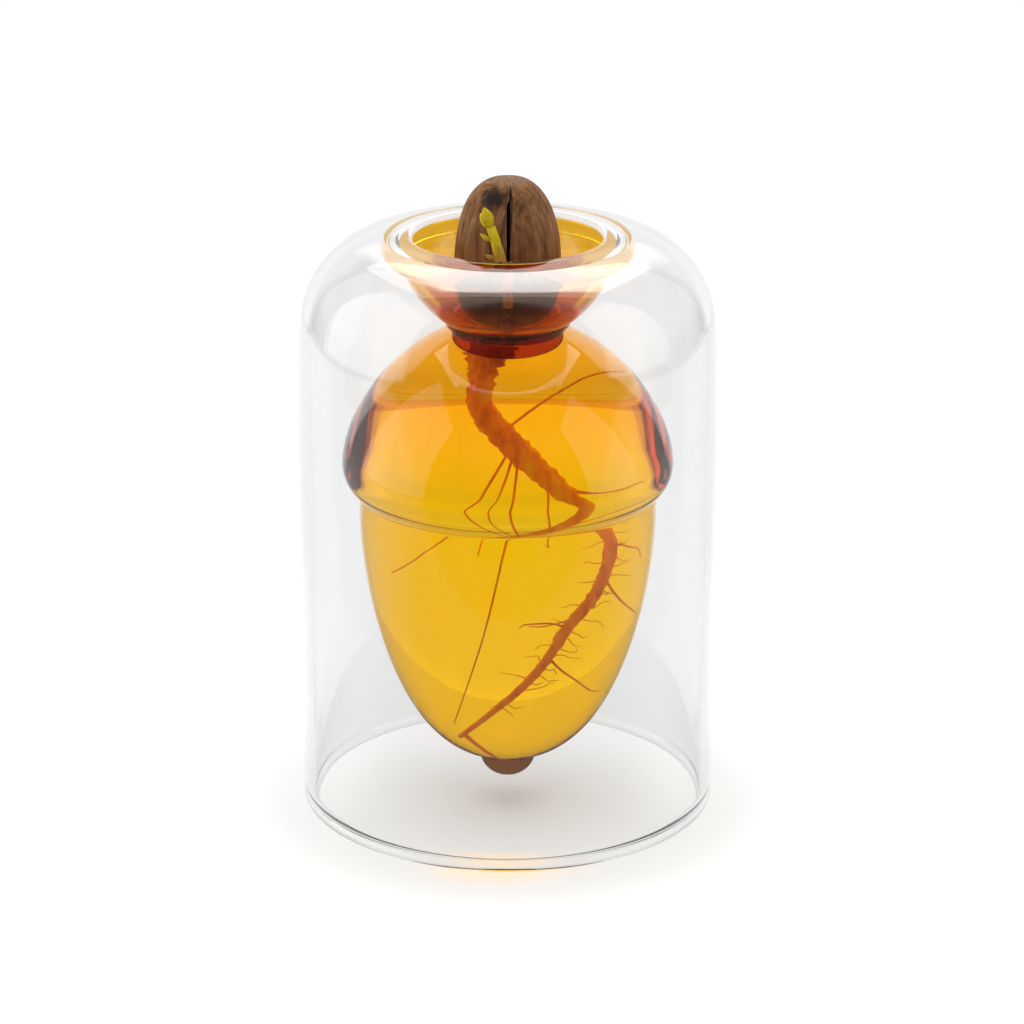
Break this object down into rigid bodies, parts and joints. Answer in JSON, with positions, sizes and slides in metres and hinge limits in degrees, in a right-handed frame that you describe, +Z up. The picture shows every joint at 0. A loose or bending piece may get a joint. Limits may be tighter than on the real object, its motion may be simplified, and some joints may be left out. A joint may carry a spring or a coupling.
{
  "type": "acorn sprouting vase",
  "caption": "Clear glass cloche with an amber glass acorn hung from its collar; a seed cup above the acorn holds a sprouting acorn with its root in water.",
  "frame": {"origin": "on the vase's axis, on the table that the cloche's rim stands on", "axes": "+Z up along the axis, +X to the right and +Y away from the camera in the picture"},
  "size_m": [0.09, 0.09, 0.1397],
  "materials": {
    "clear_glass": "blown, fire-polished",
    "amber_glass": "blown, transparent amber",
    "dark_amber_glass": "solid drop, transparent amber",
    "seed_coat": "wet brown nut shell, split",
    "seed_leaf": "matt kernel",
    "root": "fibrous",
    "shoot": "soft yellow-green stem"
  },
  "bodies": {
    "vase": {"cloche": "clear_glass", "seed_cup": "amber_glass", "acorn_cap": "amber_glass", "acorn_nut": "amber_glass", "tip_bead": "dark_amber_glass"},
    "seedling": {"seed_shell": "seed_coat", "seed_leaf_left": "seed_leaf", "seed_leaf_right": "seed_leaf", "root_collar": "root", "taproot": "root", "shoot_stem": "shoot", "shoot_bud": "shoot", "scale_leaf_lower": "shoot", "scale_leaf_upper": "shoot"}
  },
  "joints": [
    {"name": "seedling_lift", "type": "slide", "parent": "vase", "child": "seedling", "axis": [0, 0, 1], "range_m": [0, 0.12], "deforming": ["taproot"]}
  ]
}
